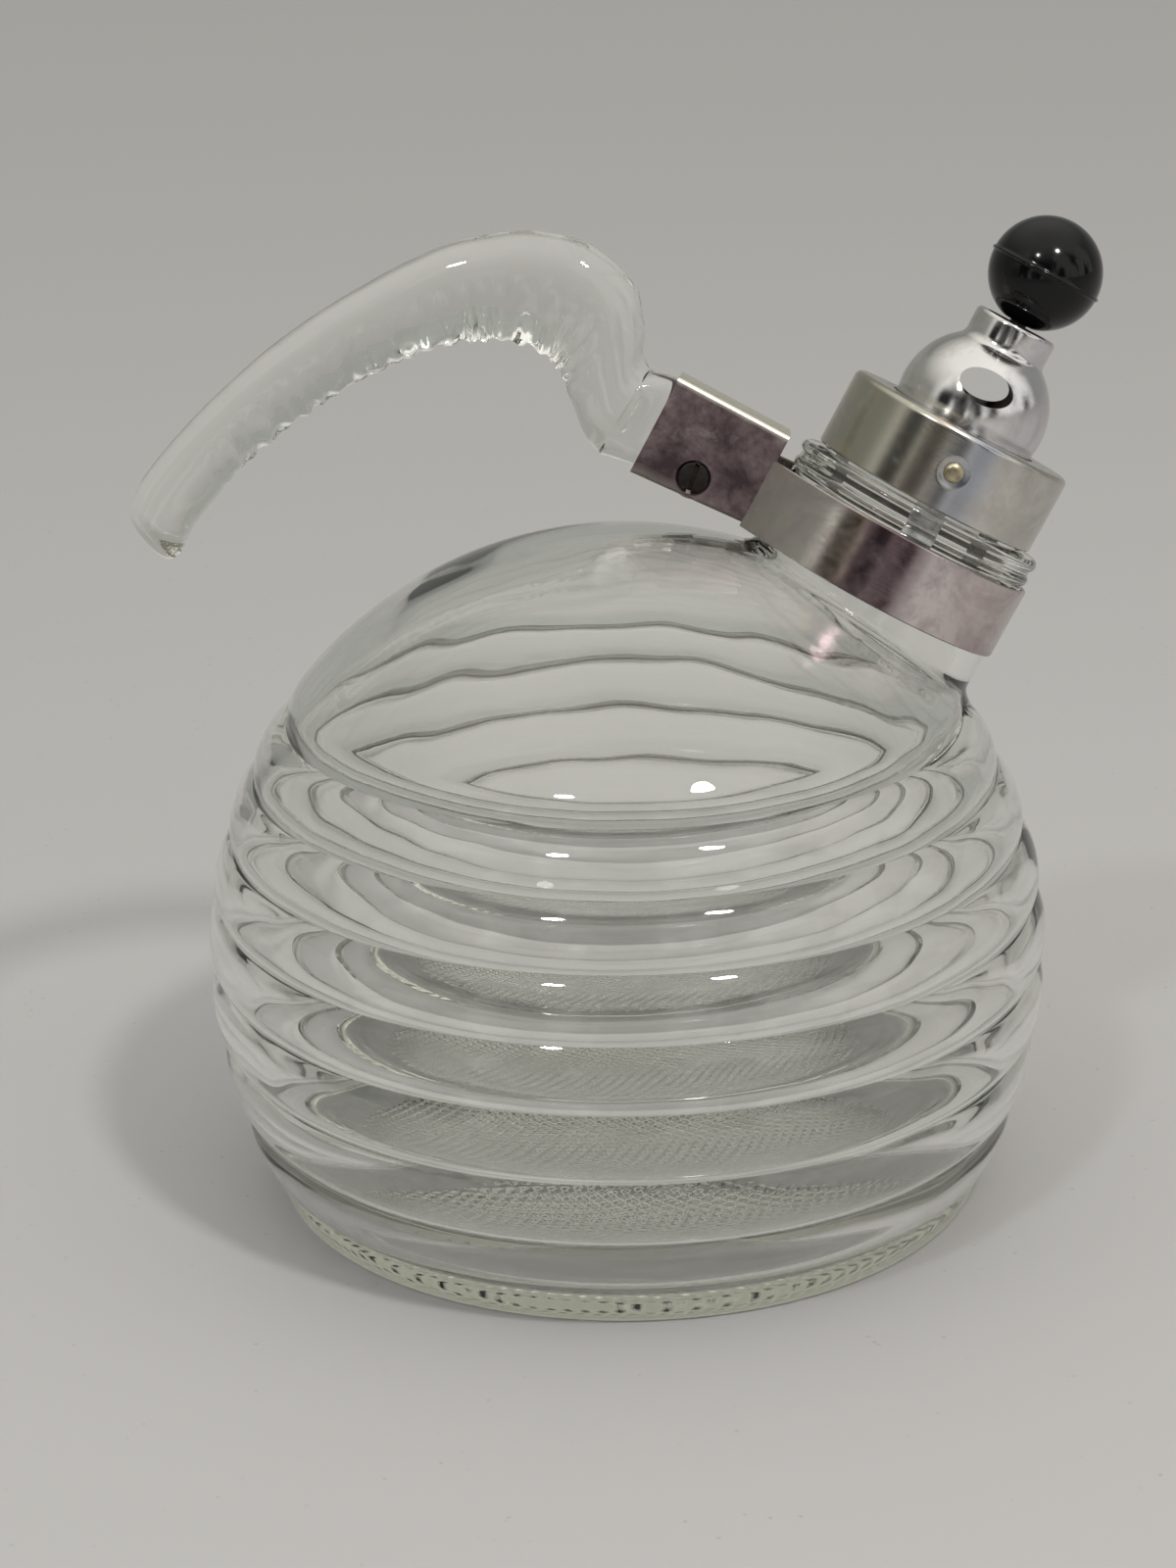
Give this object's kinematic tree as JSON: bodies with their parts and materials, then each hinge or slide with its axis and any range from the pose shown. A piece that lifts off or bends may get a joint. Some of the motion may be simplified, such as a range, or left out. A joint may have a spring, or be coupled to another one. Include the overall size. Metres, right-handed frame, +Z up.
{
  "type": "glass whistling kettle",
  "caption": "Clear ribbed glass ball kettle with a tilted neck, a clamped solid glass handle and a lift-off whistling cap with a round black knob.",
  "frame": {"origin": "centre of the flat base that the kettle stands on", "axes": "+Z up, out of the ball; the neck and its cap lean towards +X; the handle runs back over the ball towards -X, turned a little to +Y"},
  "size_m": [0.1831, 0.1644, 0.1864],
  "materials": {
    "clear_glass": "clear pressed and blown soda glass, smooth, faint olive tint at thick edges",
    "nickel_plated_steel": "nickel-plated strip, bright on its bends, dulled and purplish where tarnished",
    "nickel_screws": "plated machine screws, nut and washer",
    "fibre": "brown pressed fibre sheet",
    "spun_aluminium": "spun and polished, faint turning marks, lightly scratched",
    "spring_steel": "rolled spring strip",
    "brass": "dull brass",
    "black_knob": "polished black phenolic"
  },
  "bodies": {
    "kettle": {"glass_body": "clear_glass", "neck_band": "nickel_plated_steel", "glass_handle": "clear_glass", "handle_pad_front": "fibre", "handle_pad_rear": "fibre", "clamp_screw": "nickel_screws", "clamp_nut": "nickel_screws"},
    "cap": {"cap_skirt": "spun_aluminium", "cap_rivet_1": "brass", "cap_rivet_2": "brass", "cap_rivet_3": "brass", "whistle_dome": "spun_aluminium", "whistle_disc_lower": "spun_aluminium", "whistle_disc_upper": "spun_aluminium", "ball_knob": "black_knob", "knob_screw": "nickel_screws", "knob_washer": "nickel_screws"},
    "leaf_1": {"cap_leaf_1": "spring_steel"},
    "leaf_2": {"cap_leaf_2": "spring_steel"},
    "leaf_3": {"cap_leaf_3": "spring_steel"}
  },
  "joints": [
    {"name": "cap_lift", "type": "slide", "parent": "kettle", "child": "cap", "axis": [0.4939, 0, 0.8695], "range_m": [0, 0.045]},
    {"name": "leaf_1_flex", "type": "hinge", "parent": "cap", "child": "leaf_1", "pos_m": [0.05896, -0.0206, 0.14344], "axis": [0.8293, -0.3007, -0.4711], "range_deg": [0, 4], "stiffness_Nm_per_rad": 0.2, "springref_deg": -4.01},
    {"name": "leaf_2_flex", "type": "hinge", "parent": "cap", "child": "leaf_2", "pos_m": [0.08295, 0.00467, 0.12982], "axis": [-0.1882, 0.9763, 0.1069], "range_deg": [0, 4], "stiffness_Nm_per_rad": 0.2, "springref_deg": -4.01},
    {"name": "leaf_3_flex", "type": "hinge", "parent": "cap", "child": "leaf_3", "pos_m": [0.05192, 0.01592, 0.14744], "axis": [-0.6411, -0.6756, 0.3642], "range_deg": [0, 4], "stiffness_Nm_per_rad": 0.2, "springref_deg": -4.01}
  ],
  "couplings": [
    {"joint": "leaf_2_flex", "follows": "leaf_1_flex", "ratio": 1},
    {"joint": "leaf_3_flex", "follows": "leaf_1_flex", "ratio": 1}
  ]
}
